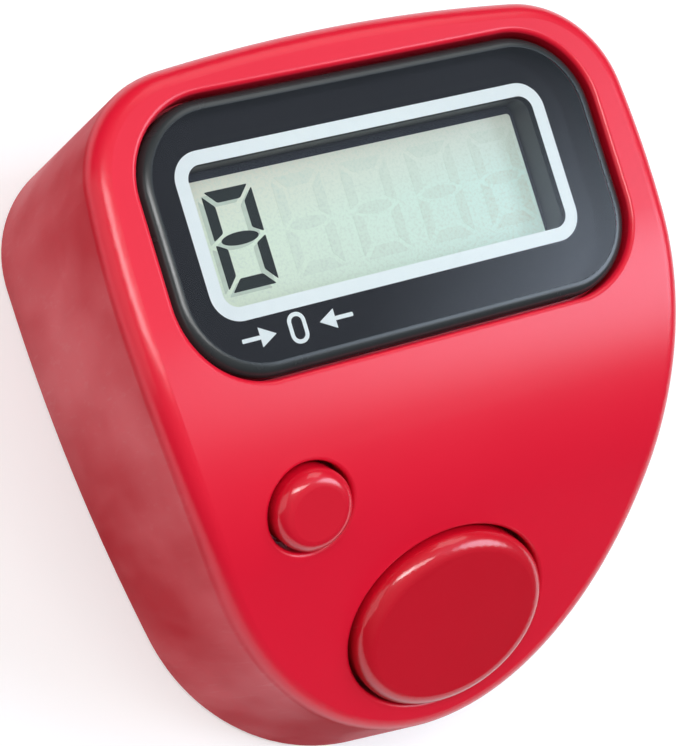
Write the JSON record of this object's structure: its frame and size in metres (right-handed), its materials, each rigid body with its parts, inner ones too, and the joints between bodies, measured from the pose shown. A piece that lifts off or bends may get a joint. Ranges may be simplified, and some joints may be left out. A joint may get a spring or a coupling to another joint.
{
  "type": "finger counter",
  "caption": "Hand-held digital prayer bead counter with a shield-shaped case, a display window, a large count button on a slope, a small reset button and bars for a finger strap",
  "frame": {"origin": "middle of the flat back, on the face that it rests on", "axes": "+X across the case to the right of the display, +Y along the case to the display end, +Z out of the display"},
  "size_m": [0.03, 0.0346, 0.0205],
  "materials": {
    "case_red": "glossy moulded ABS, red",
    "key_red": "glossy moulded ABS, red, a little deeper",
    "lens_clear": "clear acrylic with a black print behind its border",
    "bezel_black": "fine matt black moulding",
    "lcd_glass": "clear display glass",
    "lcd_film": "pale green-grey reflective film",
    "pad_foam": "soft black foam",
    "clamp_grey": "matt grey moulding",
    "flex_film": "amber polyester ribbon with carbon tracks",
    "board_green": "green solder mask on board",
    "screw_steel": "plated steel",
    "chip_epoxy": "black potting resin",
    "chip_ceramic": "brown ceramic chip",
    "dome_silicone": "translucent grey silicone",
    "cell_steel": "bright nickel-plated cell can",
    "contact_nickel": "nickel-plated spring steel",
    "lead_black": "black wire sleeve",
    "lead_red": "red wire sleeve"
  },
  "bodies": {
    "case": {"front_shell": "case_red", "rear_cover": "case_red", "case_screws": "screw_steel", "display_lens": "lens_clear", "display_bezel": "bezel_black", "lcd_front_polariser": "lcd_glass", "lcd_front_glass": "lcd_glass", "lcd_rear_glass": "lcd_glass", "lcd_rear_reflector": "lcd_film", "lcd_pressure_pad": "pad_foam", "lcd_clamp": "clamp_grey", "display_flex": "flex_film", "main_board": "board_green", "board_screws": "screw_steel", "chip_glob_top": "chip_epoxy", "chip_resistors": "chip_ceramic", "chip_capacitor": "chip_ceramic", "count_dome": "dome_silicone", "reset_dome": "dome_silicone", "battery_cell": "cell_steel", "battery_negative_leaf": "contact_nickel", "battery_positive_clip": "contact_nickel", "negative_lead": "lead_black", "positive_lead": "lead_red"},
    "count_key": {"count_button": "key_red"},
    "reset_key": {"reset_button": "key_red"},
    "door": {"battery_door": "case_red"}
  },
  "joints": [
    {"name": "count_press", "type": "slide", "parent": "case", "child": "count_key", "axis": [0, 0.6019, -0.7986], "range_m": [0, 0.0007], "stiffness_N_per_m": 1500, "springref_m": -0.0002, "deforming": ["count_dome"]},
    {"name": "reset_press", "type": "slide", "parent": "case", "child": "reset_key", "axis": [0, 0.4772, -0.8788], "range_m": [0, 0.0006], "stiffness_N_per_m": 1500, "springref_m": -0.0002, "deforming": ["reset_dome"]},
    {"name": "door_twist", "type": "hinge", "parent": "case", "child": "door", "pos_m": [0, 0.0062, 0], "axis": [0, 0, 1], "range_deg": [0, 45]}
  ]
}
